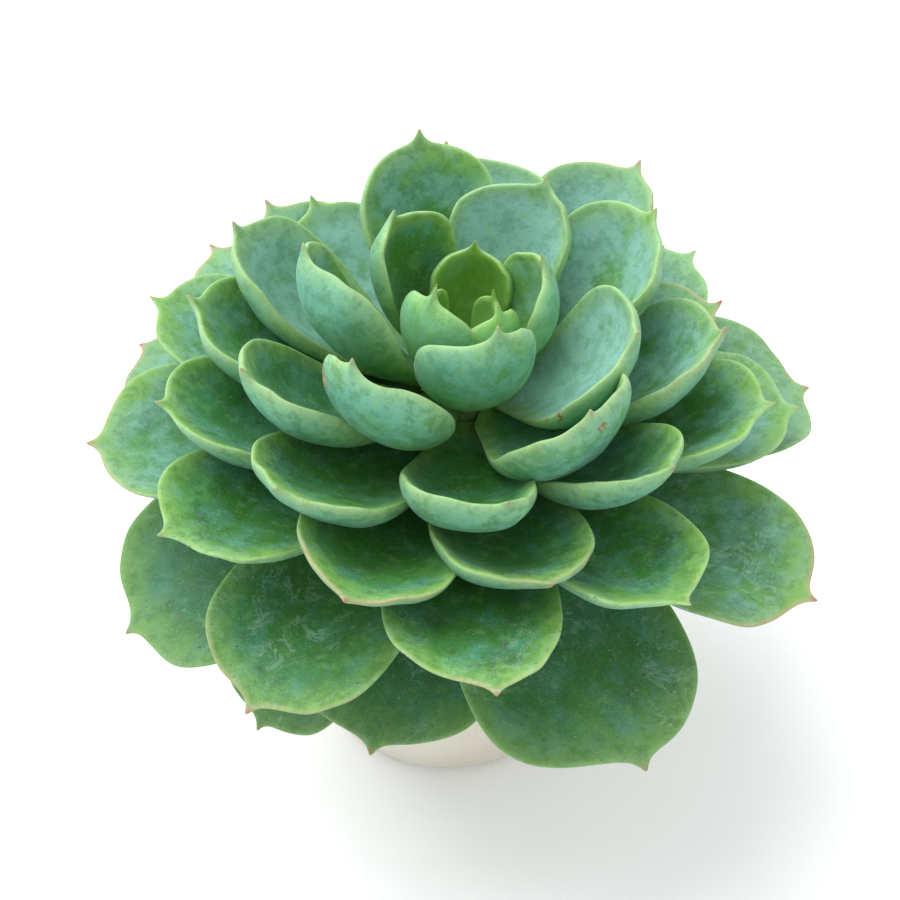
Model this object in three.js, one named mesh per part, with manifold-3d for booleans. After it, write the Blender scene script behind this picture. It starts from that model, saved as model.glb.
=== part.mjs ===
// A rosette succulent in a plain round pot: thick spoon-shaped leaves on a short stem, set in soil.
// Units are millimetres, +Z is up, and the origin is the centre of the pot's flat underside.
import * as THREE from "three";
import { mergeVertices } from "three/addons/utils/BufferGeometryUtils.js";
import Module from "manifold-3d";

// ---- pot -------------------------------------------------------------------------------------
const POT_HEIGHT = 47; // underside to top of rim
const POT_RIM_RADIUS = 40; // outside of the wall, at the rim
const POT_BASE_RADIUS = 29; // outside, at the underside
const POT_WALL = 3;
const POT_FLOOR = 4;
const RIM_BAND_HEIGHT = 8; // the thicker band below the rim
const RIM_BAND_PROUD = 1.5; // how far the band stands out from the wall
const DRAIN_COUNT = 4;
const DRAIN_RADIUS = 2.5;
const DRAIN_CIRCLE_RADIUS = 14;
const POT_SIDES = 40;

// ---- soil ------------------------------------------------------------------------------------
const SOIL_BELOW_RIM = 4; // so that water stays in the pot
const SOIL_MOUND = 3; // how far the soil rises towards the stem
const FIT_GAP = 0.3; // left between pieces that touch

// ---- stem ------------------------------------------------------------------------------------
const STEM_ABOVE_SOIL_EDGE = 51; // the growing point's height over the edge of the soil
const STEM_RADIUS = 7.2;
const STEM_TIP_RADIUS = 1.2; // at the growing point
const STEM_TAPER_LENGTH = 11; // from the growing point down to the full radius
const STEM_IN_SOIL = 26; // how deep it goes below the edge of the soil
const ROOT_TIP_RADIUS = 2.5;
const STEM_SIDES = 20;

// ---- leaves: one spiral, youngest first --------------------------------------------------------
const GOLDEN_ANGLE = 137.5; // degrees from each leaf to the next
const FIRST_LEAF_TURN = 256.5; // degrees, anticlockwise from +X seen from above
const INTERNODE = 0.36; // how far down the stem each leaf starts below the one before
const UNBROKEN_LEAVES = 53; // the youngest ones, all still on the plant
const LAST_OLD_LEAVES = [55, 60]; // the ages of the old ones that haven't been shed
const OLDEST = 60;
const LEAN = 3.4; // degrees that the plant leans towards +X

// How a leaf grows with age: eight values each, closer together in youth, at the ages 60 (k / 7)^2 for k
// from 0 to 7.
const GROWTH = {
  length: [11, 14, 23, 38.5, 44.5, 49, 61, 59],
  width: [5, 7.5, 16, 23.5, 24.5, 28, 34, 37],
  thickness: [2, 2.6, 4, 5.2, 5.6, 5.6, 5.4, 4.4],
  baseAngle: [74, 72, 56, 30, 10, 4, -1, -22],
  tipAngle: [88, 92, 97, 74, 56, 38, 9, -56],
  cup: [0.9, 0.9, 0.85, 0.7, 0.55, 0.45, 0.28, 0.12],
};

// Leaves that grew away from the even spiral: how far each is turned, lifted, curled up at its end and
// rolled about its own length, its left side up (degrees), how much longer and wider it is, and how far
// its point lies to the right, as a share of its half width.
const STRAYED = {
  4: { wider: 1.12 },
  5: { turned: 3, lifted: 3 },
  6: { turned: 3, lifted: 4, rolled: 10, wider: 1.08 },
  7: { turned: 2, lifted: 3, longer: 1.05, wider: 1.1, point: -0.25 },
  8: { turned: -3, rolled: 10, wider: 1.1, point: -0.2 },
  9: { turned: 12, lifted: 2, wider: 1.15, point: 0.3 },
  10: { turned: -4, lifted: 1, rolled: 20, longer: 1.04, wider: 1.14 },
  11: { lifted: -3, rolled: 20, longer: 0.95, wider: 1.25 },
  12: { longer: 1.05, wider: 1.15 },
  13: { turned: -5, lifted: 2, curled: 8, point: -0.3 },
  14: { turned: 3, lifted: 4, wider: 1.18 },
  15: { turned: 4, lifted: -6, longer: 1.06 },
  16: { turned: 4, lifted: 4, curled: 8, rolled: 14, wider: 1.12, point: 0.4 },
  17: { turned: 9, rolled: -15, wider: 1.3, point: -0.6 },
  19: { lifted: 3, wider: 1.15 },
  20: { turned: 4, lifted: -7, longer: 0.94 },
  21: { turned: 6, point: -0.45, wider: 0.96 },
  22: { turned: 10, lifted: 9, longer: 1.08, wider: 1.1, point: 0.25 },
  24: { turned: -5, lifted: 3, wider: 0.94 },
  26: { turned: 2, wider: 1.05 },
  27: { turned: 3, lifted: 2, longer: 0.92 },
  28: { turned: -7, lifted: 3, longer: 0.97 },
  29: { turned: -3, lifted: -4, point: -0.2 },
  32: { turned: 6, lifted: 6 },
  33: { lifted: -8, longer: 0.94 },
  35: { turned: 8, longer: 0.95 },
  36: { longer: 0.97, wider: 0.95 },
  37: { wider: 0.92 },
  39: { longer: 0.97, wider: 0.94 },
  40: { turned: 3, lifted: -2, longer: 0.93 },
  41: { turned: 5, lifted: -5, wider: 0.88 },
  42: { lifted: 3, wider: 0.9, point: -0.2 },
  43: { longer: 0.94 },
  44: { turned: 2, lifted: -2, longer: 0.97, wider: 1.08 },
  45: { turned: 3, longer: 1.04, wider: 1.04 },
  47: { turned: 2 },
  48: { turned: -3, lifted: 6, longer: 1.03, wider: 1.18 },
  49: { longer: 1.06, wider: 1.1 },
  50: { turned: 2, longer: 1.04, wider: 1.2, point: -0.2 },
  52: { turned: 3, longer: 1.04, wider: 1.15 },
  55: { turned: -3, lifted: 4, longer: 0.9, wider: 1.06 },
  60: { turned: 4, lifted: 2, wider: 0.82 },
};
const EVEN = { turned: 0, lifted: 0, curled: 0, rolled: 0, longer: 1, wider: 1, point: 0 };

// ---- what all leaves share ---------------------------------------------------------------------
const NECK_WIDTH = 6.5; // where the leaf joins the stem
const NECK_THICKNESS = 0.5; // as a share of the leaf's full thickness
const WIDEST_AT = 0.69; // share of the length, from the base
const END_SQUARENESS = 1.3; // above 1, the end beyond the widest place is blunter than half an ellipse
const POINT_LENGTH = 2.6; // the little point at the leaf's end
const POINT_FLARE = 0.11; // how far the point's foot spreads, as a share of the half width
const HEART_AT = 0.6; // share of the length where the leaf's rings of faces start
const CURL_POWER = 1.4; // above 1, a leaf bends more towards its end than at its base
const RAISED_BY = 1; // degrees at a time, where a leaf would otherwise run through the pot
const SIDE_STATIONS = [0, 0.22, 0.42, 0.6, 0.78, 0.92]; // from the base to near the point
const TOP_RINGS = [0.45, 0.85]; // shares of the way from the heart to the margin
const UNDER_RINGS = [0.9, 0.6];

const radians = (degrees) => (degrees * Math.PI) / 180;

const wasm = await Module();
wasm.setup();

// ---- solids ------------------------------------------------------------------------------------
function solidOf(geometry, matrix = new THREE.Matrix4()) {
  const plain = new THREE.BufferGeometry();
  plain.setAttribute("position", geometry.getAttribute("position").clone());
  plain.setIndex(geometry.index);
  const merged = mergeVertices(plain.applyMatrix4(matrix), 1e-4);
  return new wasm.Manifold(
    new wasm.Mesh({
      numProp: 3,
      vertProperties: merged.getAttribute("position").array,
      triVerts: new Uint32Array(merged.index.array),
    }),
  );
}

function geometryOf(solid, matrix = new THREE.Matrix4()) {
  const { vertProperties, triVerts } = solid.getMesh();
  const geometry = new THREE.BufferGeometry();
  geometry.setAttribute("position", new THREE.BufferAttribute(vertProperties, 3));
  geometry.setIndex(new THREE.BufferAttribute(triVerts, 1));
  geometry.applyMatrix4(matrix);
  return geometry;
}

function largestBody(solid) {
  return solid.decompose().sort((a, b) => b.volume() - a.volume())[0];
}

// A turned shape about +Z from [radius, height] pairs that start and end on the axis.
function turned(profile, sides) {
  const points = profile.map(([radius, height]) => new THREE.Vector2(radius, height));
  return new THREE.LatheGeometry(points, sides).rotateX(Math.PI / 2);
}

// ---- pot ---------------------------------------------------------------------------------------
function wallRadiusAt(height) {
  return POT_BASE_RADIUS + ((POT_RIM_RADIUS - POT_BASE_RADIUS) * height) / POT_HEIGHT;
}

function potGeometry() {
  const bandFoot = POT_HEIGHT - RIM_BAND_HEIGHT;
  const lipRadius = POT_RIM_RADIUS + RIM_BAND_PROUD;
  const profile = [
    [0, 0],
    [POT_BASE_RADIUS - 1, 0],
    [wallRadiusAt(1), 1],
    [wallRadiusAt(bandFoot), bandFoot],
    [wallRadiusAt(bandFoot) + RIM_BAND_PROUD, bandFoot + 0.8],
    [lipRadius, POT_HEIGHT - 0.8],
    [lipRadius - 0.8, POT_HEIGHT],
    [POT_RIM_RADIUS - POT_WALL + 0.8, POT_HEIGHT],
    [POT_RIM_RADIUS - POT_WALL, POT_HEIGHT - 0.8],
    [wallRadiusAt(POT_FLOOR) - POT_WALL, POT_FLOOR],
    [0, POT_FLOOR],
  ];
  let pot = solidOf(turned(profile, POT_SIDES));
  for (let i = 0; i < DRAIN_COUNT; i++) {
    const turn = (2 * Math.PI * (i + 0.5)) / DRAIN_COUNT;
    const drill = new THREE.CylinderGeometry(DRAIN_RADIUS, DRAIN_RADIUS, 3 * POT_FLOOR, 16);
    drill.rotateX(Math.PI / 2);
    drill.translate(DRAIN_CIRCLE_RADIUS * Math.cos(turn), DRAIN_CIRCLE_RADIUS * Math.sin(turn), 0);
    pot = pot.subtract(solidOf(drill));
  }
  return geometryOf(pot);
}

// ---- stem, about the middle of the soil's top ----------------------------------------------------
function stemRadiusAt(below) {
  const t = Math.min(below / STEM_TAPER_LENGTH, 1);
  return STEM_TIP_RADIUS + (STEM_RADIUS - STEM_TIP_RADIUS) * Math.sqrt(t);
}

function stemGeometry(swell = 0) {
  const top = STEM_ABOVE_SOIL_EDGE;
  const shoulder = [0, 0.04, 0.15, 0.35, 0.65, 1].map((t) => t * STEM_TAPER_LENGTH);
  const profile = [
    [0, -STEM_IN_SOIL - swell],
    [ROOT_TIP_RADIUS + swell, -STEM_IN_SOIL - swell],
    [STEM_RADIUS + swell, 0],
    ...shoulder.reverse().map((below) => [stemRadiusAt(below) + swell, top - below]),
    [0, top + 0.8 + swell],
  ];
  return turned(profile, STEM_SIDES);
}

// ---- soil ----------------------------------------------------------------------------------------
function soilGeometry(stemHole) {
  const edgeHeight = POT_HEIGHT - SOIL_BELOW_RIM;
  const inside = (height) => wallRadiusAt(height) - POT_WALL - FIT_GAP;
  const bottom = POT_FLOOR + FIT_GAP;
  const slope = [0.8, 0.6, 0.4, 0.2].map((share) => [
    inside(edgeHeight) * share,
    edgeHeight + (SOIL_MOUND * (1 + Math.cos(Math.PI * share))) / 2,
  ]);
  const profile = [
    [0, bottom],
    [inside(bottom), bottom],
    [inside(edgeHeight), edgeHeight],
    ...slope,
    [0, edgeHeight + SOIL_MOUND],
  ];
  return geometryOf(largestBody(solidOf(turned(profile, POT_SIDES)).subtract(stemHole)));
}

// ---- leaves --------------------------------------------------------------------------------------
// One of GROWTH's measures at an age, on a smooth curve through its values.
function grown(measure, age) {
  const values = GROWTH[measure];
  const last = values.length - 1;
  const at = last * Math.sqrt(age / OLDEST);
  const i = Math.min(Math.floor(at), last - 1);
  const t = at - i;
  const value = (k) => values[Math.min(Math.max(k, 0), last)];
  const slopeIn = (value(i + 1) - value(i - 1)) / 2;
  const slopeOut = (value(i + 2) - value(i)) / 2;
  return (
    (2 * t ** 3 - 3 * t ** 2 + 1) * value(i) +
    (t ** 3 - 2 * t ** 2 + t) * slopeIn +
    (3 * t ** 2 - 2 * t ** 3) * value(i + 1) +
    (t ** 3 - t ** 2) * slopeOut
  );
}

function leafOf(age, raised = 0) {
  const leaf = { ...EVEN, ...STRAYED[age], below: INTERNODE * age };
  leaf.lifted += raised;
  for (const measure of Object.keys(GROWTH)) leaf[measure] = grown(measure, age);
  leaf.length *= leaf.longer;
  leaf.width *= leaf.wider;
  leaf.baseAngle += leaf.lifted - leaf.curled / CURL_POWER;
  leaf.tipAngle += leaf.lifted + leaf.curled;
  const rise = radians(leaf.baseAngle + (leaf.tipAngle - leaf.baseAngle) / (1 + CURL_POWER));
  const baseToPoint = new THREE.Vector3(Math.cos(rise), 0, Math.sin(rise));
  const roll = new THREE.Matrix4().makeRotationAxis(baseToPoint, radians(leaf.rolled));
  const turn = radians(FIRST_LEAF_TURN + GOLDEN_ANGLE * age + leaf.turned);
  const out = stemRadiusAt(leaf.below) + FIT_GAP;
  leaf.matrix = new THREE.Matrix4()
    .makeRotationZ(turn)
    .multiply(roll)
    .setPosition(out * Math.cos(turn), out * Math.sin(turn), STEM_ABOVE_SOIL_EDGE - leaf.below);
  return leaf;
}

// A flat leaf's margin on one side (1 right, -1 left): [across, along], for u from 0, the base, to 1, the
// point.
function marginAt(u, side, leaf, half) {
  const neck = Math.min(NECK_WIDTH / leaf.width, 0.7);
  if (u < 0.5) {
    const s = u / 0.5;
    const across = half * (neck + (1 - neck) * Math.sin((Math.PI / 2) * s ** 1.35));
    return [side * across, leaf.length * WIDEST_AT * s];
  }
  const v = (u - 0.5) * Math.PI;
  const across = half * Math.cos(v) ** (1 / END_SQUARENESS);
  const along = leaf.length * (WIDEST_AT + (1 - WIDEST_AT) * Math.sin(v) ** (1 / END_SQUARENESS));
  const point = POINT_LENGTH * Math.exp(-across / (half * POINT_FLARE));
  return [side * across + leaf.point * half * Math.sin(v) ** 6, along + point];
}

// The midrib: [outwards, up, angle] at any share of the leaf's length.
function midribOf(leaf) {
  const steps = 30;
  const walked = [[0, 0, leaf.baseAngle]];
  while (walked.length <= steps * 1.2) {
    const [out, up] = walked.at(-1);
    const s = (walked.length - 0.5) / steps;
    const angle = leaf.baseAngle + (leaf.tipAngle - leaf.baseAngle) * s ** CURL_POWER;
    const step = leaf.length / steps;
    walked.push([out + step * Math.cos(radians(angle)), up + step * Math.sin(radians(angle)), angle]);
  }
  return (share) => {
    const at = Math.max(share * steps, 0);
    const i = Math.min(Math.floor(at), walked.length - 2);
    return walked[i].map((value, k) => value + (walked[i + 1][k] - value) * (at - i));
  };
}

// One leaf about its own base: +X runs outwards and +Z up. swell makes it that much fatter all over.
function leafGeometry(leaf, swell = 0) {
  const half = leaf.width / 2 + swell;
  const rightSide = SIDE_STATIONS.map((u) => marginAt(u, 1, leaf, half));
  const leftSide = SIDE_STATIONS.map((u) => marginAt(u, -1, leaf, half)).reverse();
  const [endAcross, endAlong] = marginAt(1, 1, leaf, half);
  const outline = [...rightSide, [endAcross, endAlong + swell], ...leftSide];
  const heart = leaf.length * HEART_AT;
  const midrib = midribOf(leaf);
  const cupRadius = half / leaf.cup;

  const place = ([x, y], share, side) => {
    const across = x * share;
    const along = (heart + (y - heart) * share) / leaf.length;
    const fullness = NECK_THICKNESS + (1 - NECK_THICKNESS) * Math.sin(Math.PI * Math.min(along * 0.75, 1));
    const bulge = Math.sqrt(1 - share ** 2);
    const height = side > 0 ? swell * bulge : -(leaf.thickness * fullness + swell) * bulge;
    const [out, up, angle] = midrib(along);
    const lift = cupRadius - (cupRadius - height) * Math.cos(across / cupRadius);
    return [
      out - Math.sin(radians(angle)) * lift,
      -(cupRadius - height) * Math.sin(across / cupRadius),
      up + Math.cos(radians(angle)) * lift,
    ];
  };

  const onTop = TOP_RINGS.map((share) => [share, 1]);
  const underneath = UNDER_RINGS.map((share) => [share, -1]);
  const rings = [...onTop, [1, 1], ...underneath];
  const count = outline.length;
  const points = [place([0, heart], 0, 1)];
  for (const [share, side] of rings)
    for (const corner of outline) points.push(place(corner, share, side));
  points.push(place([0, heart], 0, -1));
  const faces = [];
  for (let k = 0; k < count; k++) {
    const next = (k + 1) % count;
    faces.push(0, 1 + k, 1 + next);
    for (let ring = 1; ring < rings.length; ring++) {
      const inner = 1 + (ring - 1) * count;
      const outer = inner + count;
      faces.push(inner + k, outer + k, outer + next, inner + k, outer + next, inner + next);
    }
    const last = 1 + (rings.length - 1) * count;
    faces.push(last + k, points.length - 1, last + next);
  }
  const geometry = new THREE.BufferGeometry();
  geometry.setAttribute("position", new THREE.Float32BufferAttribute(points.flat(), 3));
  geometry.setIndex(faces);
  return geometry;
}

// An old leaf never hangs through the pot: it is raised until it lies clear of the rim.
function leafClearOf(pot, age, raised = 0) {
  const leaf = leafOf(age, raised);
  const swollen = solidOf(leafGeometry(leaf, FIT_GAP), leaf.matrix);
  return swollen.intersect(pot).isEmpty() ? leaf : leafClearOf(pot, age, raised + RAISED_BY);
}

// Each older leaf gives way to the younger ones that lie on it, and all leaves to the stem.
function trimmedLeaves(leaves) {
  const stem = solidOf(stemGeometry(FIT_GAP));
  const swollen = leaves.map((leaf) => solidOf(leafGeometry(leaf, FIT_GAP), leaf.matrix));
  return leaves.map((leaf, i) => {
    const neighbours = [stem, ...swollen.slice(0, i)];
    const whole = solidOf(leafGeometry(leaf), leaf.matrix);
    const cut = neighbours.reduce((solid, neighbour) => solid.subtract(neighbour), whole);
    return geometryOf(largestBody(cut), leaf.matrix.clone().invert());
  });
}

// ---- the whole thing -----------------------------------------------------------------------------
const materials = {
  pot: new THREE.MeshStandardMaterial({ color: 0xe9e4da, roughness: 0.3 }),
  soil: new THREE.MeshStandardMaterial({ color: 0x3d2c20, roughness: 1 }),
  stem: new THREE.MeshStandardMaterial({ color: 0x8a8f63, roughness: 0.7 }),
  leaf: new THREE.MeshStandardMaterial({ color: 0x6fa37b, roughness: 0.5 }),
};

function named(name, geometry, material) {
  const mesh = new THREE.Mesh(geometry, material);
  mesh.name = name;
  return mesh;
}

const plant = new THREE.Group();
plant.position.z = POT_HEIGHT - SOIL_BELOW_RIM;
plant.rotation.y = radians(LEAN);
plant.updateMatrix();
plant.add(named("stem", stemGeometry(), materials.stem));

const ages = [...Array(UNBROKEN_LEAVES).keys(), ...LAST_OLD_LEAVES];
const potFromPlant = solidOf(potGeometry(), plant.matrix.clone().invert());
const leaves = ages.map((age) => leafClearOf(potFromPlant, age));
trimmedLeaves(leaves).forEach((geometry, i) => {
  const mesh = named("leaf_" + String(i + 1).padStart(2, "0"), geometry, materials.leaf);
  leaves[i].matrix.decompose(mesh.position, mesh.quaternion, mesh.scale);
  plant.add(mesh);
});

const stemHole = solidOf(stemGeometry(FIT_GAP), plant.matrix);
const potted = new THREE.Group();
potted.add(named("pot", potGeometry(), materials.pot));
potted.add(named("soil", soilGeometry(stemHole), materials.soil));
potted.add(plant);

export default potted;
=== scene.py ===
"""A rosette succulent in a plain glazed pot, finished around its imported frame.

Lengths are in millimetres, and MM or placed() turns them into the frame's metres."""

import math

import bmesh
import bpy
import numpy as np
from mathutils import Euler, Matrix, Vector, noise


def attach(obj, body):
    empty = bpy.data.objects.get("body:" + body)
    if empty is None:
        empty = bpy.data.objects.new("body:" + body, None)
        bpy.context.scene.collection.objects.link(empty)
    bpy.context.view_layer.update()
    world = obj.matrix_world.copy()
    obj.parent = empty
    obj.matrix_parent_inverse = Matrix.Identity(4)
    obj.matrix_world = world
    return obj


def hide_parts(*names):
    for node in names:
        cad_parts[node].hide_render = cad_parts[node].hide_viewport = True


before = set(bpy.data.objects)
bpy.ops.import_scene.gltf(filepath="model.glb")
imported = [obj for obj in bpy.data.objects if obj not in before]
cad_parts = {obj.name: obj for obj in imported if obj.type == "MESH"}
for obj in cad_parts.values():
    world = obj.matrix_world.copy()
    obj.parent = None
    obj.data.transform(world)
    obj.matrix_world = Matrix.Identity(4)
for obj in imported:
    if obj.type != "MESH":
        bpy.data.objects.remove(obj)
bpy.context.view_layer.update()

MM = 0.001

# ---- sizes that the plain solids share ---------------------------------------------------------
POT_HEIGHT = 47.0
POT_RIM_RADIUS = 40.0
POT_BASE_RADIUS = 29.0
POT_WALL = 3.0
POT_FLOOR = 4.0
RIM_BAND_HEIGHT = 8.0
RIM_BAND_PROUD = 1.5
DRAIN_COUNT = 4
DRAIN_RADIUS = 2.5
DRAIN_CIRCLE_RADIUS = 14.0
SOIL_BELOW_RIM = 4.0
SOIL_MOUND = 3.0
FIT_GAP = 0.3
STEM_ABOVE_SOIL_EDGE = 51.0
STEM_RADIUS = 7.2
STEM_TIP_RADIUS = 1.2
STEM_TAPER_LENGTH = 11.0
STEM_IN_SOIL = 26.0
ROOT_TIP_RADIUS = 2.5

GOLDEN_ANGLE = 137.5
FIRST_LEAF_TURN = 256.5
INTERNODE = 0.36
UNBROKEN_LEAVES = 53
LAST_OLD_LEAVES = (55, 60)
OLDEST = 60
LEAN = 3.4

GROWTH = {  # measures and angles in degrees, from the youngest leaf to the oldest
    "length": (11, 14, 23, 38.5, 44.5, 49, 61, 59),
    "width": (5, 7.5, 16, 23.5, 24.5, 28, 34, 37),
    "thickness": (2, 2.6, 4, 5.2, 5.6, 5.6, 5.4, 4.4),
    "base_angle": (74, 72, 56, 30, 10, 4, -1, -22),
    "tip_angle": (88, 92, 97, 74, 56, 38, 9, -56),
    "cup": (0.9, 0.9, 0.85, 0.7, 0.55, 0.45, 0.28, 0.12),
}
STRAYED = {  # how single leaves, by age, differ from the even growth
    4: dict(wider=1.12),
    5: dict(turned=3, lifted=3),
    6: dict(turned=3, lifted=4, rolled=10, wider=1.08),
    7: dict(turned=2, lifted=3, longer=1.05, wider=1.1, point=-0.25),
    8: dict(turned=-3, rolled=10, wider=1.1, point=-0.2),
    9: dict(turned=12, lifted=2, wider=1.15, point=0.3),
    10: dict(turned=-4, lifted=1, rolled=20, longer=1.04, wider=1.14),
    11: dict(lifted=-3, rolled=20, longer=0.95, wider=1.25),
    12: dict(longer=1.05, wider=1.15),
    13: dict(turned=-5, lifted=2, curled=8, point=-0.3),
    14: dict(turned=3, lifted=4, wider=1.18),
    15: dict(turned=4, lifted=-6, longer=1.06),
    16: dict(turned=4, lifted=4, curled=8, rolled=14, wider=1.12, point=0.4),
    17: dict(turned=9, rolled=-15, wider=1.3, point=-0.6),
    19: dict(lifted=3, wider=1.15),
    20: dict(turned=4, lifted=-7, longer=0.94),
    21: dict(turned=6, point=-0.45, wider=0.96),
    22: dict(turned=10, lifted=9, longer=1.08, wider=1.1, point=0.25),
    24: dict(turned=-5, lifted=3, wider=0.94),
    26: dict(turned=2, wider=1.05),
    27: dict(turned=3, lifted=2, longer=0.92),
    28: dict(turned=-7, lifted=3, longer=0.97),
    29: dict(turned=-3, lifted=-4, point=-0.2),
    32: dict(turned=6, lifted=6),
    33: dict(lifted=-8, longer=0.94),
    35: dict(turned=8, longer=0.95),
    36: dict(longer=0.97, wider=0.95),
    37: dict(wider=0.92),
    39: dict(longer=0.97, wider=0.94),
    40: dict(turned=3, lifted=-2, longer=0.93),
    41: dict(turned=5, lifted=-5, wider=0.88),
    42: dict(lifted=3, wider=0.9, point=-0.2),
    43: dict(longer=0.94),
    44: dict(turned=2, lifted=-2, longer=0.97, wider=1.08),
    45: dict(turned=3, longer=1.04, wider=1.04),
    47: dict(turned=2),
    48: dict(turned=-3, lifted=6, longer=1.03, wider=1.18),
    49: dict(longer=1.06, wider=1.1),
    50: dict(turned=2, longer=1.04, wider=1.2, point=-0.2),
    52: dict(turned=3, longer=1.04, wider=1.15),
    55: dict(turned=-3, lifted=4, longer=0.9, wider=1.06),
    60: dict(turned=4, lifted=2, wider=0.82),
}
EVEN = dict(turned=0, lifted=0, curled=0, rolled=0, longer=1, wider=1, point=0)

NECK_WIDTH = 6.5
NECK_OF_NARROW_LEAF = 0.7  # the most of its width
NECK_THICKNESS = 0.5
WIDEST_AT = 0.69
END_SQUARENESS = 1.3
POINT_LENGTH = 2.6
POINT_FLARE = 0.11
HEART_AT = 0.6
CURL_POWER = 1.4

# ---- the finish of a leaf, which the plain solids don't have -------------------------------------
RIDGE = 0.36  # radius of the rounded margin
RIDGE_IN_THICKNESS = 0.15  # and the most of a thin leaf's thickness that it takes
LIP_WIDTH = 1.8  # of the rounding, in ridges
HOLLOW = 0.22  # depth of the upper face's hollow, as a share of the leaf's thickness
THORN_LENGTH = 1.3  # the fine end of the point, beyond the plain solid's
THORN_FLARE = 0.03
BLANK_SEGMENTS = 64
BLANK_RINGS = 26
MIDRIB_STEPS = 60
MIDRIB_REACH = 1.2  # how far past the leaf's end the midrib is worked out, for the point
MARGIN_CROWDING = 1.6  # above 1, the blank's meridians crowd towards the leaf's point
WAVE = 0.45  # how far a leaf's faces stray from true
WAVE_SPAN = 8.0
DENT = 0.14  # how deep the small dents in them are
DENT_SPAN = 3.4
RIPPLE = 0.7  # how far its margin strays up and down
RIPPLE_SPAN = 0.45  # as an angle round the leaf, in radians
OUTLINE_WAVER = 0.035  # and how far outwards, as a share of the half width
OUTLINE_SPAN = 0.8
FULL_GROWN_WIDTH = 25  # narrower leaves are smoother
FOLD = (0.02, 0.16)  # least and most slope of a leaf's two halves towards the line between them
FOLD_STRAY = 0.12  # how far that line strays from the middle, as a share of the half width
FOLD_ROUNDING = 0.03
FOLD_LEVEL = 0.45  # how far from that line a fold leaves the face at its height
UNDERSIDE_BLUNTNESS = 0.55
BLUNTER_WITH_AGE = 0.25

LIT_AND_POWDERY_SIDE = math.radians(75)  # where the leaves are palest and powderiest: partly a thicker bloom, partly painted light, paler on the side towards the light and darker green away from it
POWDER_AND_LIT_TONE = {  # leaves, by age, that are pale and powdery (1) or bare, darker green (0) unlike the others on their side, partly bloom and partly painted light and shade
    4: 0.1,
    5: 0.5,
    7: 0,
    8: 0.5,
    11: 1,
    12: 0.5,
    15: 0.7,
    18: 0.1,
    20: 1,
    23: 0.3,
    28: 1,
    31: 0.1,
    32: 0.35,
    44: 0.45,
}
EASED = {  # leaves whose point or roll differs a little from the plain solids'
    13: dict(point=0.2),
    16: dict(point=0.1),
    34: dict(rolled=-8),
}

rng = np.random.default_rng(7)


# ---- small helpers -------------------------------------------------------------------------------
def smooth(value, low, high):
    t = np.clip((value - low) / (high - low), 0, 1)
    return t * t * (3 - 2 * t)


def deselect():
    bpy.ops.object.select_all(action="DESELECT")


def only(piece):
    deselect()
    piece.select_set(True)
    bpy.context.view_layer.objects.active = piece


def coordinates(mesh):
    flat = np.empty(len(mesh.vertices) * 3)
    mesh.vertices.foreach_get("co", flat)
    return flat.reshape(-1, 3)


def reshape(mesh, points):
    mesh.vertices.foreach_set("co", np.asarray(points, float).ravel())
    mesh.update()


def paint(mesh, name, values):
    layer = mesh.attributes.new(name, "FLOAT", "POINT")
    layer.data.foreach_set("value", np.asarray(values, float))


def apply_modifier(piece, kind, **settings):
    only(piece)
    modifier = piece.modifiers.new(kind.title(), kind)
    for key, value in settings.items():
        setattr(modifier, key, value)
    bpy.ops.object.modifier_apply(modifier=modifier.name)


def settle(piece):
    """The piece's place goes into its mesh, so that its object sits at the origin."""
    only(piece)
    bpy.ops.object.transform_apply(location=True, rotation=True, scale=True)


def finish_piece(piece, slot, *nodes):
    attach(piece, "root")
    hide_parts(*nodes)
    return piece


def placed(points):
    """From the leaning plant's own frame, in millimetres, to the row's frame, in metres."""
    lean = np.array(Matrix.Rotation(math.radians(LEAN), 3, "Y"))
    return (np.asarray(points) @ lean.T + [0, 0, POT_HEIGHT - SOIL_BELOW_RIM]) * MM


# ---- shaders ---------------------------------------------------------------------------------------
class Value:
    """A shader socket that can be written in sums."""

    def __init__(self, shader, socket):
        self.shader, self.socket = shader, socket

    def _with(self, operation, other, swapped=False):
        inputs = (other, self) if swapped else (self, other)
        return self.shader.node("ShaderNodeMath", dict(operation=operation), *inputs)

    def __add__(self, other):
        return self._with("ADD", other)

    def __radd__(self, other):
        return self._with("ADD", other, swapped=True)

    def __sub__(self, other):
        return self._with("SUBTRACT", other)

    def __rsub__(self, other):
        return self._with("SUBTRACT", other, swapped=True)

    def __mul__(self, other):
        return self._with("MULTIPLY", other)

    def __rmul__(self, other):
        return self._with("MULTIPLY", other, swapped=True)


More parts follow.
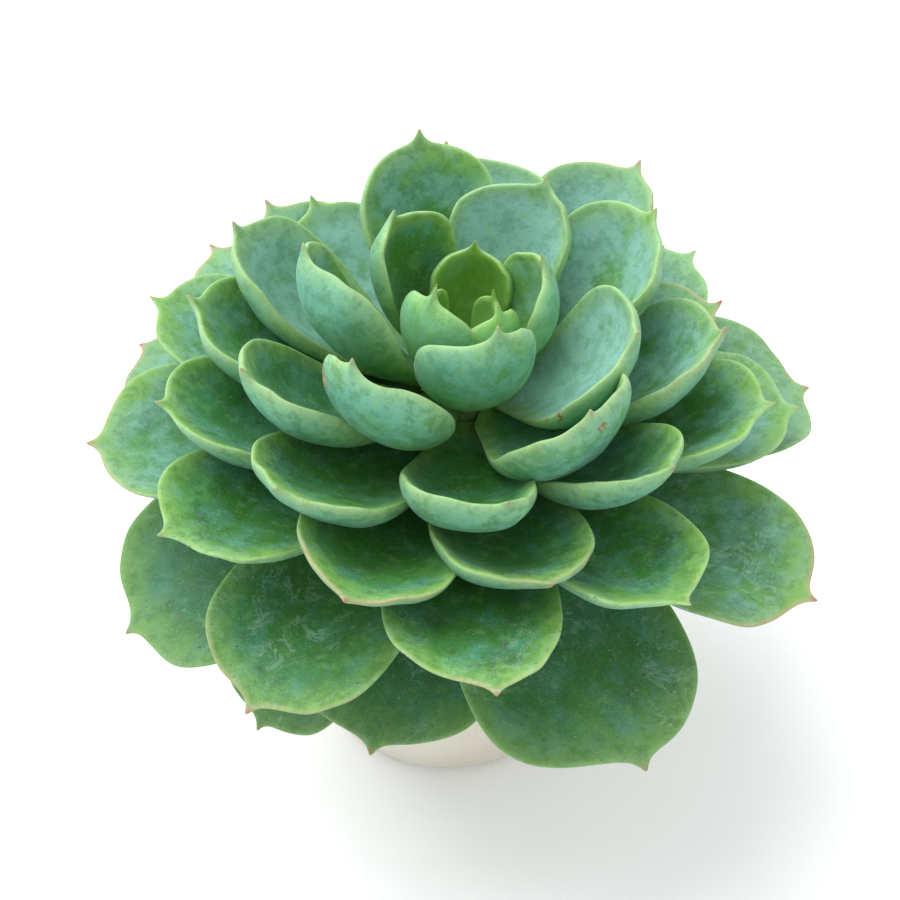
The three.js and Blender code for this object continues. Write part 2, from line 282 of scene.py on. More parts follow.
class Shader:
    """One material and its nodes."""

    def __init__(self, name):
        self.material = bpy.data.materials.new(name)
        self.material.use_nodes = True
        self.tree = self.material.node_tree
        self.surface = self.tree.nodes["Principled BSDF"]

    def node(self, kind, settings=None, *inputs, output=0, **named):
        """Settings come first, then sockets, by number or name; None leaves a socket as it is."""
        node = self.tree.nodes.new(kind)
        for key, value in (settings or {}).items():
            setattr(node, key, value)
        for key, value in [*enumerate(inputs), *named.items()]:
            socket = node.inputs[key if isinstance(key, int) else key.replace("_", " ")]
            self.feed(socket, value)
        return Value(self, node.outputs[output])

    def feed(self, socket, value):
        if isinstance(value, Value):
            self.tree.links.new(value.socket, socket)
        elif isinstance(value, tuple) and socket.type == "RGBA":
            socket.default_value = (*value, 1)
        elif value is not None:
            socket.default_value = value

    def attribute(self, name):
        return self.node("ShaderNodeAttribute", dict(attribute_name=name), output="Fac")

    def place(self):
        return self.node("ShaderNodeTexCoord", output="Object")

    def noise(self, scale, detail=3.0, roughness=0.5, **more):
        """Scale is in blotches to the metre."""
        sockets = dict(Vector=self.place(), Scale=scale, Detail=detail, Roughness=roughness, **more)
        return self.node("ShaderNodeTexNoise", None, **sockets)

    def step(self, value, low, high):
        settings = dict(interpolation_type="SMOOTHSTEP")
        return self.node("ShaderNodeMapRange", settings, Value=value, From_Min=low, From_Max=high)

    def largest(self, first, second):
        return self.node("ShaderNodeMath", dict(operation="MAXIMUM"), first, second)

    def dots(self, scale, size):
        """Dots in random places, about scale of them to the metre; size is their radius in cells."""
        cell = self.node("ShaderNodeTexVoronoi", dict(feature="F1"), Vector=self.place(), Scale=scale)
        return self.step(cell, size, size * 0.6)

    def mix(self, share, first, second):
        """A colour from first, at share 0, to second, at 1, by the node's sockets for colours."""
        other_kinds = [None] * 5
        settings = dict(data_type="RGBA")
        return self.node("ShaderNodeMix", settings, share, *other_kinds, first, second, output=2)

    def bump(self, height, distance, strength):
        return self.node("ShaderNodeBump", None, Height=height, Distance=distance, Strength=strength)

    def set(self, **values):
        for key, value in values.items():
            self.feed(self.surface.inputs[key.replace("_", " ")], value)
        return self.material


def rgb(red, green, blue):
    """A screen colour, 0 to 255, as the shader's own."""
    return tuple(((c / 255 + 0.055) / 1.055) ** 2.4 if c > 10 else c / 3294 for c in (red, green, blue))


def leaf_material():
    s = Shader("leaf_flesh")
    upper, margin, tip, scar = (s.attribute(name) for name in ("upper", "margin", "tip", "scar"))
    along, age, own, lit_side_tone = (s.attribute(name) for name in ("along", "age", "own", "lit_side_tone"))
    cloud = s.noise(60, 4, 0.6)
    patch = s.noise(170, 5, 0.62)
    blotch = s.noise(260, 6, 0.7)
    mottle = s.noise(420, 5, 0.68)
    grain = s.noise(1300, 4, 0.65)
    fine = s.noise(4200, 2, 0.5)
    tint = s.noise(34, 3, 0.55)
    drift = cloud - 0.5
    # painted light and shade: leaves on the lit side are painted paler and bluer, those on the far side a
    # darker green, partly also a thicker bloom
    pale = lit_side_tone * (0.85 + (own - 0.5) * 0.3)

    # upper face: a more saturated green and painted shade, darker in its hollow and towards the stem where
    # shade falls; powdery blue-green where the bloom lies
    hollow_shade = s.step(1.0 - margin + drift * 0.8, 0.1, 0.62)
    inner = s.step(0.86 - along + drift * 0.6, 0.0, 0.5)
    deep_green_and_shade = s.largest(hollow_shade * (0.95 - pale * 0.6), inner * (0.95 - pale * 0.4))
    face = s.mix(deep_green_and_shade, s.mix(pale, rgb(74, 138, 52), rgb(134, 186, 122)), rgb(42, 108, 16))
    face = s.mix(s.step(tint, 0.42, 0.66) * (0.4 - deep_green_and_shade * 0.25), face, rgb(44, 128, 104))
    bloom = s.step(patch + drift * 0.7 + pale * 0.22, 0.44, 0.66)
    # the palest, bluest powder on the lit side is partly a painted sky reflection on the bloom
    powder = s.mix(pale, rgb(72, 142, 122), rgb(158, 206, 206))
    face = s.mix(bloom * (0.88 - deep_green_and_shade * 0.48), face, powder)
    face = s.mix(s.step(margin + drift * 0.2, 0.68, 1.0) * 0.6, face, rgb(144, 184, 82))
    # underside: a thicker and bluer bloom, rubbed to green in places
    rubbed = s.step(patch + drift * 0.5, 0.5, 0.7)
    under = s.mix(s.step(along + drift * 0.5, 0.25, 0.9), rgb(116, 170, 66), rgb(104, 172, 150))
    under = s.mix(rubbed * 0.65, under, rgb(92, 156, 70))
    under = s.mix(s.step(margin + drift * 0.3, 0.72, 1.0) * 0.45, under, rgb(152, 190, 122))
    skin = s.mix(upper, under, face)
    skin = s.mix(s.step(mottle + drift * 0.3, 0.47, 0.6) * (0.4 - pale * 0.2), skin, rgb(44, 108, 16))
    skin = s.mix(s.step(mottle + drift * 0.3, 0.47, 0.34) * 0.24, skin, rgb(138, 188, 112))
    # bright yellow-green at the heart of the plant, dull on the oldest leaves
    skin = s.mix(s.step(age, 0.14, 0.0) * 0.65, skin, rgb(150, 200, 44))
    old = s.step(age, 0.6, 0.95)
    skin = s.mix(old * 0.5, skin, rgb(56, 92, 62))
    # margin and point
    rim = s.step(margin + (patch - 0.5) * 0.03, 0.95, 1.0)
    skin = s.mix(rim * (0.42 - old * 0.25), skin, rgb(164, 190, 122))
    pink = s.step(age, 0.2, 0.5) * s.step(own + drift, 0.35, 0.85)
    skin = s.mix(rim * s.step(along, 0.8, 1.0) * pink * 0.5, skin, rgb(186, 128, 116))
    skin = s.mix(s.step(tip, 0.75, 1.3) * (0.3 + pink * 0.6), skin, rgb(178, 66, 92))

    # wear: rubbed green patches, dark specks, pale flecks, the lines of dried water, dry scars
    wear = s.step(age, 0.08, 0.5) * s.step(cloud, 0.36, 0.58) * (1.0 - pale * 0.8)
    bruise = s.step(blotch + (grain - 0.5) * 0.5, 0.5, 0.64) * wear * s.step(margin, 0.2, 0.5)
    skin = s.mix(bruise * s.step(margin, 1.0, 0.76) * 0.7, skin, rgb(34, 70, 14))
    skin = s.mix(s.dots(760, 0.17) * s.step(patch, 0.4, 0.6) * wear * 0.8, skin, rgb(26, 46, 18))
    skin = s.mix(s.dots(1900, 0.26) * s.step(patch, 0.46, 0.68) * 0.45, skin, rgb(44, 74, 34))
    skin = s.mix(s.dots(520, 0.07) * 0.6, skin, rgb(196, 206, 176))
    powdery = s.step(fine * 0.6 + grain * 0.4, 0.46, 0.62)
    skin = s.mix(powdery * 0.1, skin, rgb(176, 212, 184))
    line = s.noise(150, 5, 0.62, Distortion=0.7)
    line = s.step(line, 0.475, 0.5) * s.step(line, 0.525, 0.5)
    marks = line * s.step(s.noise(75, 2), 0.5, 0.6) * s.step(age, 0.5, 0.8) * upper
    dust = s.step(s.noise(520, 6, 0.78), 0.52, 0.68) * s.step(age, 0.35, 0.85)
    dust = dust * s.step(cloud, 0.4, 0.65) * upper
    skin = s.mix(s.largest(marks * 0.34, dust * 0.5), skin, rgb(164, 194, 176))
    torn = s.step(scar + (grain - 0.5) * 1.2, 0.5, 0.75)
    dry = s.mix(s.step(grain + fine - 1.0, -0.06, 0.1), rgb(190, 170, 120), rgb(120, 88, 50))
    skin = s.mix(torn, skin, dry)

    height = grain * 0.35 + fine * 0.2 + patch * 1.6 + cloud * 1.2 - torn * 1.5
    return s.set(
        Base_Color=skin,
        Roughness=0.48 + bloom * 0.14 + grain * 0.12 - bruise * 0.12,
        Normal=s.bump(height, 0.0003, 0.5),
        Subsurface_Weight=0.08,
        Subsurface_Radius=(0.5, 1.0, 0.3),
        Subsurface_Scale=0.0025,
        Specular_IOR_Level=0.26,
        Sheen_Weight=0.07,
        Sheen_Roughness=0.5,
        Sheen_Tint=(0.8, 0.93, 1.0),
    )


def pot_material():
    s = Shader("pale_glaze")
    drift = s.noise(28, 3, 0.5)
    speck = s.noise(900, 2, 0.5)
    glaze = s.mix(s.step(drift, 0.3, 0.7), rgb(224, 217, 203), rgb(212, 203, 185))
    glaze = s.mix(s.step(speck, 0.7, 0.78) * 0.6, glaze, rgb(168, 148, 120))
    return s.set(
        Base_Color=glaze,
        Roughness=0.24 + drift * 0.16,
        Normal=s.bump(s.noise(160, 4, 0.5) + speck * 0.15, 0.0004, 0.35),
        Coat_Weight=0.3,
        Coat_Roughness=0.12,
    )


def clay_material():
    s = Shader("bare_clay")
    grain = s.noise(1200, 4, 0.65)
    clay = s.mix(s.step(s.noise(60, 4, 0.6), 0.3, 0.7), rgb(206, 190, 168), rgb(184, 164, 138))
    clay = s.mix(s.step(grain, 0.6, 0.75) * 0.4, clay, rgb(140, 118, 92))
    return s.set(Base_Color=clay, Roughness=0.82 + grain * 0.1, Normal=s.bump(grain, 0.0003, 0.6))


def soil_material(name, dark, light, scale):
    s = Shader(name)
    lump = s.noise(scale, 6, 0.7)
    fibre = s.noise(scale * 4, 4, 0.7)
    earth = s.mix(s.step(lump, 0.35, 0.68), dark, light)
    return s.set(Base_Color=earth, Roughness=0.92, Normal=s.bump(lump + fibre * 0.4, 0.0009, 0.9))


def stem_material():
    s = Shader("stem_bark")
    height, scar = s.attribute("height"), s.attribute("scar")
    bark = s.mix(s.step(s.noise(420, 5, 0.65), 0.35, 0.7), rgb(126, 112, 78), rgb(92, 76, 50))
    green = s.step(height + s.noise(90, 3, 0.5) * 0.3, 0.35, 0.8)
    skin = s.mix(green, bark, rgb(122, 142, 82))
    skin = s.mix(s.step(height, 1.5, 1.68), skin, rgb(142, 190, 58))
    skin = s.mix(scar * 0.75, skin, rgb(168, 150, 112))
    rough = s.noise(1400, 5, 0.7)
    return s.set(Base_Color=skin, Roughness=0.78, Normal=s.bump(rough + s.noise(300, 4, 0.6), 0.0006, 0.8))


# ---- leaves ------------------------------------------------------------------------------------------
def grown(measure, age):
    """One of GROWTH's measures at an age, on a smooth curve through its values."""
    values = GROWTH[measure]
    last = len(values) - 1
    at = last * math.sqrt(age / OLDEST)
    i = min(int(at), last - 1)
    t = at - i
    before, start, end, after = (values[min(max(i + k, 0), last)] for k in (-1, 0, 1, 2))
    slope_in, slope_out = (end - before) / 2, (after - start) / 2
    return (
        (2 * t**3 - 3 * t**2 + 1) * start
        + (t**3 - 2 * t**2 + t) * slope_in
        + (3 * t**2 - 2 * t**3) * end
        + (t**3 - t**2) * slope_out
    )


def stem_radius_at(below):
    t = min(below / STEM_TAPER_LENGTH, 1)
    return STEM_TIP_RADIUS + (STEM_RADIUS - STEM_TIP_RADIUS) * math.sqrt(t)


def leaf_of(age):
    leaf = {**EVEN, **STRAYED.get(age, {}), **EASED.get(age, {}), "age": age, "below": INTERNODE * age}
    leaf.update({measure: grown(measure, age) for measure in GROWTH})
    leaf["length"] *= leaf["longer"]
    leaf["width"] *= leaf["wider"]
    leaf["base_angle"] += leaf["lifted"] - leaf["curled"] / CURL_POWER
    leaf["tip_angle"] += leaf["lifted"] + leaf["curled"]
    leaf["turn"] = math.radians(FIRST_LEAF_TURN + GOLDEN_ANGLE * age + leaf["turned"])
    return leaf


def midrib(leaf, along):
    """Outwards, up and angle of the midrib at shares of the leaf's length."""
    share = (np.arange(int(MIDRIB_STEPS * MIDRIB_REACH)) + 0.5) / MIDRIB_STEPS
    angle = np.radians(leaf["base_angle"] + (leaf["tip_angle"] - leaf["base_angle"]) * share**CURL_POWER)
    step = leaf["length"] / MIDRIB_STEPS
    out = np.concatenate([[0], np.cumsum(step * np.cos(angle))])
    up = np.concatenate([[0], np.cumsum(step * np.sin(angle))])
    at = np.arange(len(out)) / MIDRIB_STEPS
    s = np.clip(along, 0, at[-1])
    leaning = leaf["base_angle"] + (leaf["tip_angle"] - leaf["base_angle"]) * s**CURL_POWER
    return np.interp(s, at, out), np.interp(s, at, up), np.radians(leaning)


def leaf_blank():
    """What every leaf is shaped from: its equator becomes the margin, and its poles the two hearts."""
    bpy.ops.mesh.primitive_uv_sphere_add(segments=BLANK_SEGMENTS, ring_count=BLANK_RINGS, radius=1)
    blank = bpy.context.object
    blank.name = "leaf_blank"
    return blank


def wavering(points, seed, scale):
    """Smooth noise, about -1 to 1, at points given in millimetres."""
    shift = Vector((seed * 17.3, seed * 5.1, seed * 11.7))
    return np.array([noise.noise(Vector(p) / scale + shift) for p in points])


def margin_of(leaf, u, side, share):
    """The flat outline's point across and along, and how far the little point juts from it."""
    half, length = leaf["width"] / 2, leaf["length"]
    neck = min(NECK_WIDTH / leaf["width"], NECK_OF_NARROW_LEAF)
    to_widest = np.clip(u / 0.5, 0, 1)
    v = np.clip((u - 0.5) * math.pi, 0, math.pi / 2)
    near = u < 0.5
    near_across = half * (neck + (1 - neck) * np.sin(math.pi / 2 * to_widest**1.35))
    far_across = half * np.clip(np.cos(v), 0, 1) ** (1 / END_SQUARENESS)
    far_along = length * (WIDEST_AT + (1 - WIDEST_AT) * np.sin(v) ** (1 / END_SQUARENESS))
    across = side * np.where(near, near_across, far_across) + leaf["point"] * half * np.sin(v) ** 6
    along = np.where(near, length * WIDEST_AT * to_widest, far_along)
    foot = POINT_LENGTH * np.exp(-far_across / (half * POINT_FLARE)) * share**9
    thorn = THORN_LENGTH * np.exp(-far_across / (half * THORN_FLARE)) * share**30
    return across, along, np.where(near, 0, foot + thorn)


def shape_leaf(blank_points, leaf):
    """The blank's points carried to a leaf about its own base, and what its skin needs to know."""
    x, y, z = blank_points.T
    share = np.clip(np.hypot(x, y), 0, 1)
    upper = z > 1e-4
    round_the_margin = np.arctan2(x, -y) / math.pi
    u = 1 - (1 - np.abs(round_the_margin)) ** MARGIN_CROWDING
    half, length = leaf["width"] / 2, leaf["length"]
    across, along, point = margin_of(leaf, u, np.where(x >= 0, 1.0, -1.0), share)

    seed, chance = leaf["age"] + 1, np.random.default_rng(leaf["age"] + 100)
    growth = min(1, leaf["width"] / FULL_GROWN_WIDTH)
    way = np.column_stack([np.cos(math.pi * round_the_margin), np.sin(math.pi * round_the_margin), x * 0])
    outline = 1 + OUTLINE_WAVER * growth * wavering(way, seed, OUTLINE_SPAN) * share * (1 - u**12)
    heart = length * HEART_AT
    flat_x = across * share * outline
    flat_y = heart + (along - heart) * share * outline + point
    along = flat_y / length

    fullness = NECK_THICKNESS + (1 - NECK_THICKNESS) * np.sin(math.pi * np.clip(along * 0.75, 0, 1))
    thick = leaf["thickness"] * fullness
    ridge = min(RIDGE, leaf["thickness"] * RIDGE_IN_THICKNESS)
    lip = ridge * LIP_WIDTH / half
    over = np.clip((share - (1 - lip)) / lip, 0, 1)
    dish = np.clip(1 - (share / (1 - lip)) ** 2, 0, 1)
    top = -ridge * (1 - np.sqrt(1 - over**2)) - HOLLOW * thick * dish * smooth(along, 0.15, 0.6)
    blunt = UNDERSIDE_BLUNTNESS + BLUNTER_WITH_AGE * float(smooth(leaf["age"] / OLDEST, 0.3, 0.8))
    under = -ridge - (thick - ridge) * np.clip(1 - share**2.2, 0, 1) ** blunt
    height = np.where(upper, top, under)

    outer = smooth(along, 0.25, 0.8) * growth
    flat = np.column_stack([flat_x, flat_y, x * 0])
    fold = chance.uniform(*FOLD) * half
    stray = chance.uniform(-FOLD_STRAY, FOLD_STRAY)
    off_line = flat_x / half - leaf["point"] * np.clip(along, 0, 1) ** 3 - stray
    height = height + fold * (np.sqrt(off_line**2 + FOLD_ROUNDING) - FOLD_LEVEL) * outer
    waves = WAVE * wavering(flat, seed, WAVE_SPAN) + DENT * wavering(flat, seed + 30, DENT_SPAN)
    height = height + waves * outer
    ripples = RIPPLE * wavering(way, seed + 60, RIPPLE_SPAN) * share**4
    height = height + ripples * outer * (1 - np.clip(u, 0, 1) ** 20)

    out, up, angle = midrib(leaf, along)
    cup_radius = half / leaf["cup"]
    lift = cup_radius - (cup_radius - height) * np.cos(flat_x / cup_radius)
    points = np.column_stack(
        [
            out - np.sin(angle) * lift,
            -(cup_radius - height) * np.sin(flat_x / cup_radius),
            up + np.cos(angle) * lift,
        ]
    )
    tip = point / POINT_LENGTH
    return points, dict(margin=share, upper=upper, along=along, across=flat_x / half, tip=tip)


SCARS = {  # along and across a leaf, length and width of each dry mark, in shares of the leaf
    13: [(0.86, 0.66, 0.05, 0.18), (0.48, 0.1, 0.03, 0.09)],
    16: [(0.96, -0.02, 0.03, 0.1)],
    11: [(0.72, 0.98, 0.05, 0.05), (0.6, 1.0, 0.06, 0.04)],
    10: [(0.62, -0.4, 0.012, 0.015)],
}


def scar_strength(leaf, facts):
    strength = np.zeros(len(facts["along"]))
    for along, across, long, wide in SCARS.get(leaf["age"], ()):
        apart = np.hypot((facts["along"] - along) / long, (facts["across"] - across) / wide)
        strength = np.maximum(strength, 1 - smooth(apart, 0.5, 1.0))
    return strength


def make_leaf(blank, number, age, material):
    leaf = leaf_of(age)
    mesh = blank.data.copy()
    name = f"leaf_{number:02d}_shaped"
    piece = bpy.data.objects.new(name, mesh)
    mesh.name = name
    bpy.context.scene.collection.objects.link(piece)
    points, facts = shape_leaf(coordinates(mesh), leaf)
    radius = stem_radius_at(leaf["below"]) + FIT_GAP
    rise = math.radians(leaf["base_angle"] + (leaf["tip_angle"] - leaf["base_angle"]) / (1 + CURL_POWER))
    base_to_point = Vector((math.cos(rise), 0, math.sin(rise)))
    roll = Matrix.Rotation(math.radians(leaf["rolled"]), 3, base_to_point)
    turn = np.array(Matrix.Rotation(leaf["turn"], 3, "Z") @ roll)
    height = STEM_ABOVE_SOIL_EDGE - leaf["below"]
    base = [radius * math.cos(leaf["turn"]), radius * math.sin(leaf["turn"]), height]
    reshape(mesh, placed(points @ turn.T + base))
    for fact in ("margin", "upper", "along", "tip"):
        paint(mesh, fact, facts[fact])
    paint(mesh, "age", np.full(len(points), age / OLDEST))
    paint(mesh, "own", np.full(len(points), rng.random()))
    # the tone of painted light and shade, by how far the leaf faces the lit side
    facing = 0.5 + 0.5 * math.cos(leaf["turn"] - LIT_AND_POWDERY_SIDE)
    paint(mesh, "lit_side_tone", np.full(len(points), POWDER_AND_LIT_TONE.get(age, facing)))
    paint(mesh, "scar", scar_strength(leaf, facts))
    apply_modifier(piece, "SUBSURF", levels=1, render_levels=1)
    piece.data.shade_smooth()
    piece.data.materials.append(material)
    return finish_piece(piece, "leaf", f"leaf_{number:02d}")


def make_leaves():
    blank = leaf_blank()
    material = leaf_material()
    ages = [*range(UNBROKEN_LEAVES), *LAST_OLD_LEAVES]
    for number, age in enumerate(ages, start=1):
        make_leaf(blank, number, age, material)
    bpy.data.objects.remove(blank)


# ---- turned pieces -----------------------------------------------------------------------------------
def turned(name, profile, segments):
    """A closed turned piece about +Z, through rings given as pairs of radius and height."""
    (first_radius, first_height), *rest = profile
    bpy.ops.mesh.primitive_circle_add(
        vertices=segments,
        radius=first_radius * MM,
        fill_type="NGON",
        location=(0, 0, first_height * MM),
    )
    piece = bpy.context.object
    piece.name = name
    settle(piece)
    bpy.ops.object.mode_set(mode="EDIT")
    bpy.ops.mesh.select_all(action="SELECT")
    radius, height = first_radius, first_height
    for next_radius, next_height in rest:
        rise = (0, 0, (next_height - height) * MM)
        bpy.ops.mesh.extrude_region_move(TRANSFORM_OT_translate=dict(value=rise))
        share = next_radius / radius
        bpy.ops.transform.resize(value=(share, share, 1), center_override=(0, 0, next_height * MM))
        radius, height = next_radius, next_height
    bpy.ops.mesh.select_all(action="SELECT")
    bpy.ops.mesh.normals_make_consistent(inside=False)
    bpy.ops.object.mode_set(mode="OBJECT")
    return piece


def wall_radius_at(height):
    return POT_BASE_RADIUS + (POT_RIM_RADIUS - POT_BASE_RADIUS) * height / POT_HEIGHT


POT_SEGMENTS = 128
POT_CORNER = 1.2  # what is cut off the pot's outer corners
POT_BEVEL = 0.45
POT_UNDERSIDE = 0.4  # what is lower than this is bare clay
DRAIN_SEGMENTS = 32


def make_pot():
    band_foot = POT_HEIGHT - RIM_BAND_HEIGHT
    lip = POT_RIM_RADIUS + RIM_BAND_PROUD
    inner = POT_RIM_RADIUS - POT_WALL
    # up the outside, over the lip and down to the inner floor; the small steps shape the band and the lip
    profile = [
        (POT_BASE_RADIUS - POT_CORNER, 0),
        (wall_radius_at(POT_CORNER), POT_CORNER),
        (wall_radius_at(band_foot - 1), band_foot - 1),
        (wall_radius_at(band_foot) + 0.2, band_foot),
        (wall_radius_at(band_foot) + RIM_BAND_PROUD, band_foot + 0.9),
        (lip, POT_HEIGHT - POT_CORNER),
        (lip - 1.1, POT_HEIGHT),
        (inner + 0.9, POT_HEIGHT),
        (inner, POT_HEIGHT - 1),
        (wall_radius_at(POT_FLOOR) - POT_WALL, POT_FLOOR),
    ]
    pot = turned("pot_glazed", profile, POT_SEGMENTS)
    for i in range(DRAIN_COUNT):
        angle = 2 * math.pi * (i + 0.5) / DRAIN_COUNT
        circle = DRAIN_CIRCLE_RADIUS * MM
        bpy.ops.mesh.primitive_cylinder_add(
            vertices=DRAIN_SEGMENTS,
            radius=DRAIN_RADIUS * MM,
            depth=3 * POT_FLOOR * MM,
            location=(circle * math.cos(angle), circle * math.sin(angle), 0),
        )
        drill = bpy.context.object
        apply_modifier(pot, "BOOLEAN", operation="DIFFERENCE", object=drill, solver="EXACT")
        bpy.data.objects.remove(drill)
    rounding = dict(width=POT_BEVEL * MM, segments=3, limit_method="ANGLE", angle_limit=math.radians(18))
    apply_modifier(pot, "BEVEL", **rounding)
    only(pot)
    bpy.ops.object.shade_smooth_by_angle(angle=math.radians(40))
    pot.data.materials.append(pot_material())
    pot.data.materials.append(clay_material())
    for face in pot.data.polygons:
        under = face.center.z < POT_UNDERSIDE * MM
        inner_floor = face.normal.z > 0.5 and face.center.z < POT_HEIGHT / 2 * MM
        face.material_index = int(under or inner_floor)
    return finish_piece(pot, "pot", "pot")


# ---- soil --------------------------------------------------------------------------------------------
SOIL_SEGMENTS = 144
SOIL_RINGS = 46
SOIL_EDGE_DROP = 0.6
CRUMB_BUMPS = 0.28
CRUMB_RISE = 0.35  # of a crumb's middle above the soil, as a share of its size
CRUMB_FROM_STEM = 2.5
CRUMB_FROM_POT = 0.6


def soil_edge_at(height):
    return wall_radius_at(height) - POT_WALL - FIT_GAP


def soil_height_at(radius):
    edge = soil_edge_at(POT_HEIGHT - SOIL_BELOW_RIM)
    share = np.clip(np.asarray(radius) / edge, 0, 1)
    return POT_HEIGHT - SOIL_BELOW_RIM + SOIL_MOUND * (1 + np.cos(math.pi * share)) / 2


def make_soil():
    edge_height = POT_HEIGHT - SOIL_BELOW_RIM
    bottom = POT_FLOOR + FIT_GAP
    edge = soil_edge_at(edge_height)
    profile = [(soil_edge_at(bottom), bottom), (edge, edge_height - SOIL_EDGE_DROP)]
    for k in range(1, SOIL_RINGS):
        ring = edge * (1 - k / SOIL_RINGS)
        profile.append((ring, float(soil_height_at(ring))))
    soil = turned("soil_bed", profile, SOIL_SEGMENTS)
    points = coordinates(soil.data) / MM
    radius = np.hypot(points[:, 0], points[:, 1])
    on_top = points[:, 2] > edge_height - SOIL_EDGE_DROP / 2
    flat = points * [1, 1, 0]
    lumps = wavering(flat, 3, 5.0) * 0.7 + wavering(flat, 5, 1.9) * 0.45 + wavering(flat, 8, 0.8) * 0.25
    points[:, 2] += np.where(on_top, lumps * smooth(edge - radius, 0, 2), 0)
    reshape(soil.data, points * MM)
    soil.data.shade_smooth()
    soil.data.materials.append(soil_material("potting_soil", rgb(48, 36, 28), rgb(92, 70, 52), 420))
    return finish_piece(soil, "soil", "soil")


def crumb_blank(name):
    bpy.ops.mesh.primitive_ico_sphere_add(subdivisions=2, radius=1)
    blank = bpy.context.object
    blank.name = name
    points = coordinates(blank.data)
    bumps = wavering(points, 2, 0.9)
    reshape(blank.data, points * (1 + CRUMB_BUMPS * bumps[:, None]))
    return blank


def scatter(name, count, smallest, largest, material):
    """Crumbs that lie on the soil, in one piece, each a copy of one blank turned and sized its own way."""
    blank = crumb_blank(name)
    shape = coordinates(blank.data)
    edge = soil_edge_at(POT_HEIGHT - SOIL_BELOW_RIM)
    crumbs = bmesh.new()
    for _ in range(count):
        size = smallest + (largest - smallest) * rng.random() ** 2
        outermost = edge - size - CRUMB_FROM_POT
        radius = math.sqrt(rng.uniform((STEM_RADIUS + CRUMB_FROM_STEM) ** 2, outermost**2))
        angle = rng.uniform(0, 2 * math.pi)
        spin = np.array(Euler(rng.uniform(0, 2 * math.pi, 3)).to_matrix())
        flattened = shape * rng.uniform(0.6, 1.0, 3) * size
        height = float(soil_height_at(radius)) + size * CRUMB_RISE
        place = [radius * math.cos(angle), radius * math.sin(angle), height]
        copy = blank.data.copy()
        reshape(copy, (flattened @ spin.T + place) * MM)
        crumbs.from_mesh(copy)
        bpy.data.meshes.remove(copy)
    crumbs.to_mesh(blank.data)
    crumbs.free()
    blank.data.shade_smooth()
    blank.data.materials.append(material)
    return finish_piece(blank, "soil", "soil")


# ---- stem --------------------------------------------------------------------------------------------
STEM_SEGMENTS = 72
ROOT_STEPS = 12
STRAIGHT_STEPS = 80
SHOULDER_SHARES = (1, 0.8, 0.6, 0.45, 0.3, 0.2, 0.1, 0.04, 0)  # of the taper, up to the growing point
SCAR_PITCH = 0.75  # between the scars of shed leaves, down the stem
SCAR_WIDE = 3.4
SCAR_TALL = 1.1
BARK_SUNK = 0.25  # between the scars
BARK_WAVE = 0.2
COLLAR = 0.9  # of leaf bases, round the stem where it carries leaves


def make_stem():
    top = STEM_ABOVE_SOIL_EDGE
    taper = STEM_TAPER_LENGTH
    profile = []
    for k in range(ROOT_STEPS + 1):
        swelling = (STEM_RADIUS - ROOT_TIP_RADIUS) * k / ROOT_STEPS
        profile.append((ROOT_TIP_RADIUS + swelling, -STEM_IN_SOIL * (1 - k / ROOT_STEPS)))
    profile += [(STEM_RADIUS, (top - taper) * k / STRAIGHT_STEPS) for k in range(1, STRAIGHT_STEPS)]
    profile += [(stem_radius_at(taper * share), top - taper * share) for share in SHOULDER_SHARES]
    stem = turned("stem_scarred", profile, STEM_SEGMENTS)
    points = coordinates(stem.data) / MM
    angle = np.arctan2(points[:, 1], points[:, 0])
    radius = np.hypot(points[:, 0], points[:, 1])
    scar = np.zeros(len(points))
    first_bare = STEM_ABOVE_SOIL_EDGE - INTERNODE * OLDEST
    for k in range(int((first_bare + 3) / SCAR_PITCH)):
        turn = math.radians(FIRST_LEAF_TURN + GOLDEN_ANGLE * (OLDEST + 1 + k))
        off = (angle - turn + math.pi) % (2 * math.pi) - math.pi
        above = points[:, 2] - (first_bare - SCAR_PITCH * k)
        apart = np.hypot(off * STEM_RADIUS / SCAR_WIDE, above / SCAR_TALL)
        scar = np.maximum(scar, 1 - smooth(apart, 0.55, 1.0))
    ring = wavering(points, 4, 4.0)
    swell = BARK_SUNK * scar - BARK_SUNK + BARK_WAVE * ring
    leafy = smooth(points[:, 2], first_bare + 2, first_bare + 6)
    bare = smooth(points[:, 2], -2, 1) * (1 - leafy)
    scale = 1 + np.where(radius > 1, (swell * bare + COLLAR * leafy) / np.maximum(radius, 1), 0)
    points[:, :2] *= scale[:, None]
    paint(stem.data, "height", points[:, 2] / first_bare)
    paint(stem.data, "scar", scar * bare)
    reshape(stem.data, placed(points))
    stem.data.shade_smooth()
    stem.data.materials.append(stem_material())
    return finish_piece(stem, "stem", "stem")


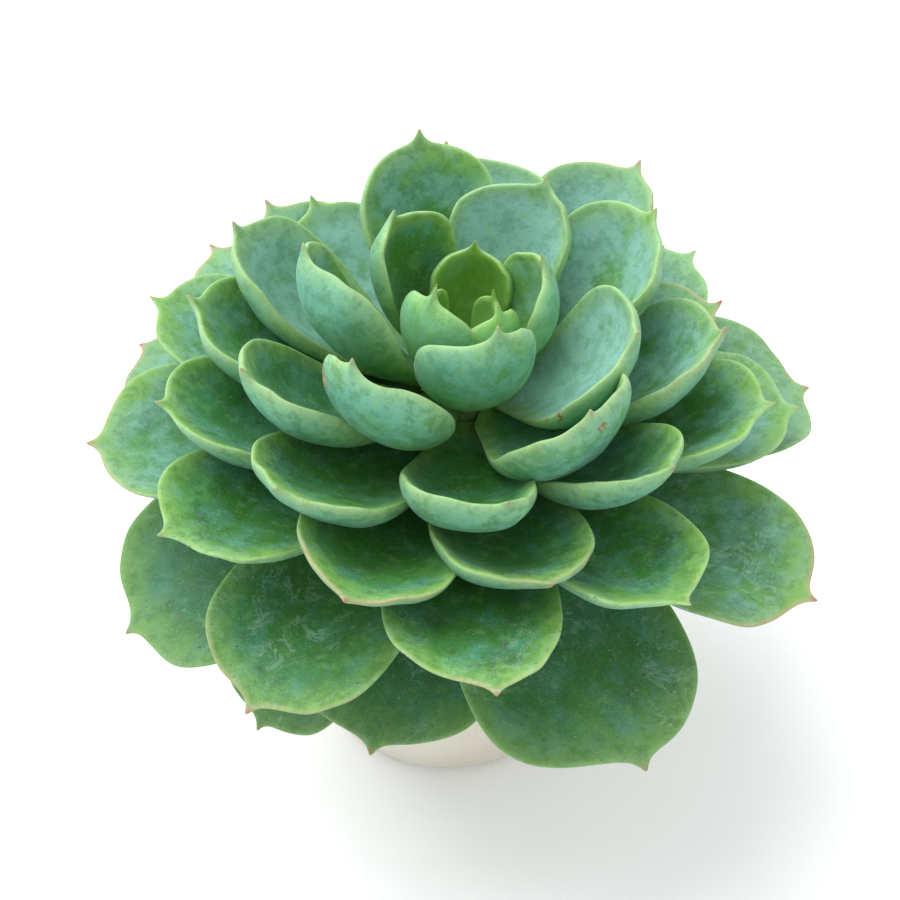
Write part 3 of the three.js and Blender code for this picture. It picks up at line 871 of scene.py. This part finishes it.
# ---- studio, in metres -------------------------------------------------------------------------------
CAMERA_RISE = 46.5  # degrees above the level
CAMERA_DISTANCE = 0.28
CAMERA_LENS = 57.2
AIM = Vector((0.0004, 0, 0.0706))
FLOOR_SIZE = 6
FLOOR_COLOUR = (0.96, 0.96, 0.96)
SKY_COLOUR = (0.96, 0.98, 1.0)
SOFTBOX_PLACE = (-0.34, 0.24, 0.84)
SOFTBOX_AIM = (0, 0, 0.08)
SOFTBOX_SIZE = 0.95
SOFTBOX_POWER = 9
SOFTBOX_COLOUR = (0.97, 0.99, 1.0)


def make_camera():
    rise = math.radians(CAMERA_RISE)
    camera = bpy.data.objects.new("camera", bpy.data.cameras.new("camera"))
    camera.data.lens = CAMERA_LENS
    camera.data.clip_start = 0.01
    camera.location = AIM + CAMERA_DISTANCE * Vector((0, -math.cos(rise), math.sin(rise)))
    camera.rotation_euler = (math.radians(90) - rise, 0, 0)
    bpy.context.scene.collection.objects.link(camera)
    bpy.context.scene.camera = camera


def make_softbox():
    light = bpy.data.lights.new("softbox", "AREA")
    light.shape = "DISK"
    light.size = SOFTBOX_SIZE
    light.energy = SOFTBOX_POWER
    light.color = SOFTBOX_COLOUR
    lamp = bpy.data.objects.new("softbox", light)
    lamp.location = SOFTBOX_PLACE
    lamp.rotation_euler = (Vector(SOFTBOX_AIM) - Vector(SOFTBOX_PLACE)).to_track_quat("-Z", "Y").to_euler()
    bpy.context.scene.collection.objects.link(lamp)


def make_studio():
    bpy.ops.mesh.primitive_plane_add(size=FLOOR_SIZE)
    floor = bpy.context.object
    floor.name = "floor"
    s = Shader("studio_white")
    floor.data.materials.append(s.set(Base_Color=FLOOR_COLOUR, Roughness=0.9))
    world = bpy.data.worlds.new("studio")
    world.use_nodes = True
    sky = world.node_tree.nodes["Background"]
    sky.inputs["Color"].default_value = (*SKY_COLOUR, 1)
    sky.inputs["Strength"].default_value = 1.0
    bpy.context.scene.world = world
    make_softbox()
    bpy.context.scene.view_settings.view_transform = "Standard"


deselect()
make_leaves()
make_stem()
make_pot()
make_soil()
crumb = soil_material("crumb_soil", rgb(40, 30, 24), rgb(100, 78, 58), 900)
scatter("soil_crumbs", 900, 0.45, 1.5, crumb)
grit = soil_material("pale_grit", rgb(168, 156, 138), rgb(206, 198, 184), 700)
scatter("soil_grit", 110, 0.6, 1.7, grit)
make_camera()
make_studio()
